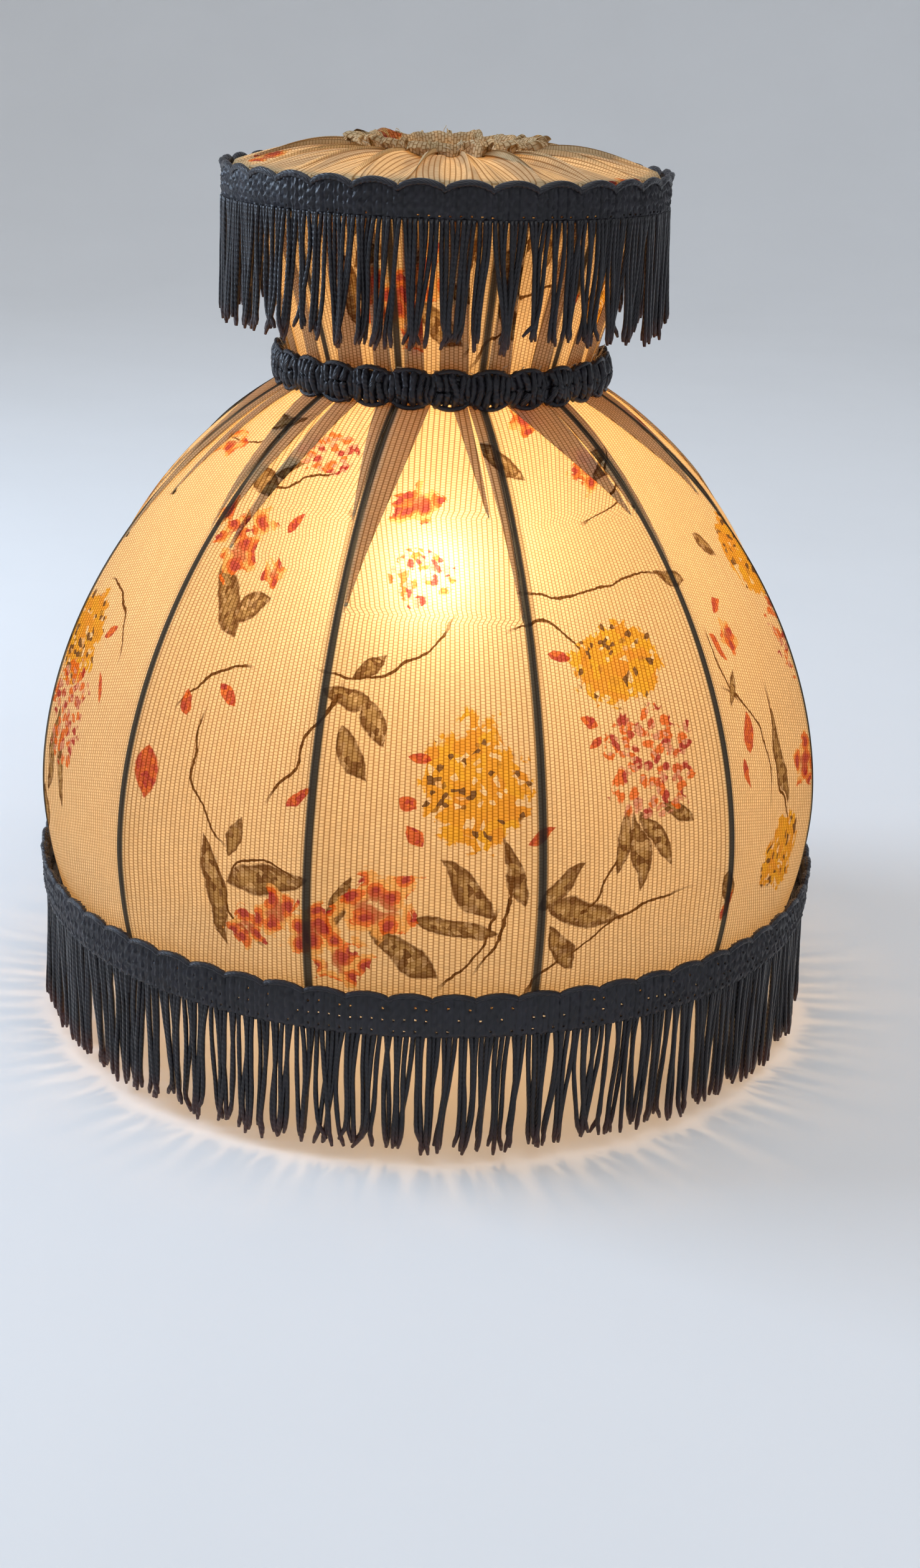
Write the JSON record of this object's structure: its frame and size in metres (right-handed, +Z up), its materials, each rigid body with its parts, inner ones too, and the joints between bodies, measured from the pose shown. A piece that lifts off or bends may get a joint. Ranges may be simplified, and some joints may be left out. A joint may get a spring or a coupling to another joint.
{
  "type": "lamp shade",
  "caption": "Crown-top fabric lamp shade on a ribbed wire frame, with a gathered top, braided waist and corded fringes, held by a lampholder ring.",
  "frame": {"origin": "centre of the fitter's hole, on the underside of the fitter ring", "axes": "+Z up along the shade's axis; the pictured side faces -Y"},
  "size_m": [0.2998, 0.2998, 0.3213],
  "materials": {
    "frame_wire": "dark lacquered wire, satin",
    "ring_tape": "matte cotton tape",
    "fitter_plate": "brassed pressed steel, satin",
    "printed_cloth": "cream ribbed weave with a printed floral, lets light through",
    "plain_cord": "matte cotton cord",
    "trim": "near-black twisted viscose cord with a soft sheen"
  },
  "bodies": {
    "root": {"hem_ring": "frame_wire", "waist_ring": "frame_wire", "top_ring": "frame_wire", "hem_ring_tape": "ring_tape", "waist_ring_tape": "ring_tape", "top_ring_tape": "ring_tape", "dome_rib_01": "frame_wire", "dome_rib_02": "frame_wire", "dome_rib_03": "frame_wire", "dome_rib_04": "frame_wire", "dome_rib_05": "frame_wire", "dome_rib_06": "frame_wire", "dome_rib_07": "frame_wire", "dome_rib_08": "frame_wire", "dome_rib_09": "frame_wire", "dome_rib_10": "frame_wire", "dome_rib_11": "frame_wire", "dome_rib_12": "frame_wire", "crown_rib_01": "frame_wire", "crown_rib_02": "frame_wire", "crown_rib_03": "frame_wire", "crown_rib_04": "frame_wire", "crown_rib_05": "frame_wire", "crown_rib_06": "frame_wire", "crown_rib_07": "frame_wire", "crown_rib_08": "frame_wire", "crown_rib_09": "frame_wire", "crown_rib_10": "frame_wire", "crown_rib_11": "frame_wire", "crown_rib_12": "frame_wire", "fitter_ring": "fitter_plate", "fitter_arm_1": "frame_wire", "fitter_arm_2": "frame_wire", "fitter_arm_3": "frame_wire", "dome_cover": "printed_cloth", "crown_cover": "printed_cloth", "top_cover": "printed_cloth", "gather_cord": "plain_cord", "waist_braid": "trim", "hem_braid": "trim", "hem_fringe": "trim", "crown_braid": "trim", "crown_fringe": "trim"}
  },
  "joints": []
}
